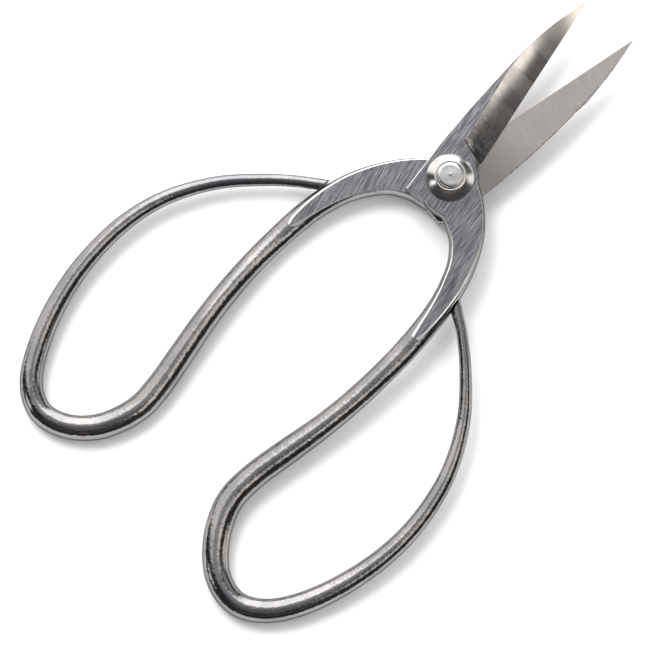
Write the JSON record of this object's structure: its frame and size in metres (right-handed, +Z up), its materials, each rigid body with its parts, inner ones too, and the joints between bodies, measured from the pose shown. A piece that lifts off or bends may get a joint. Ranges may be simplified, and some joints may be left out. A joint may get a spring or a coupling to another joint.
{
  "type": "floral snips",
  "caption": "Stainless floral snips, lying open: short pointed blades, a riveted pivot with cup washers, and wide butterfly loop handles.",
  "frame": {"origin": "pivot axis at the flat rear end of the rivet, where the tool rests", "axes": "+Z up along the pivot axis towards the turned rivet head, +Y along the bisector of the open blades towards the tips, +X towards the upper half's handle loop"},
  "size_m": [0.112, 0.1775, 0.0156],
  "materials": {
    "ground_steel": "ground and polished",
    "turned_steel": "polished"
  },
  "bodies": {
    "lower_snip": {"lower_half": "ground_steel", "pivot_rivet": "turned_steel", "front_washer": "turned_steel", "rear_washer": "turned_steel"},
    "upper_snip": {"upper_half": "ground_steel"}
  },
  "joints": [
    {"name": "blade_pivot", "type": "hinge", "parent": "lower_snip", "child": "upper_snip", "pos_m": [0, 0, 0.00693], "axis": [0, 0, 1], "range_deg": [-15.4, 35]}
  ]
}
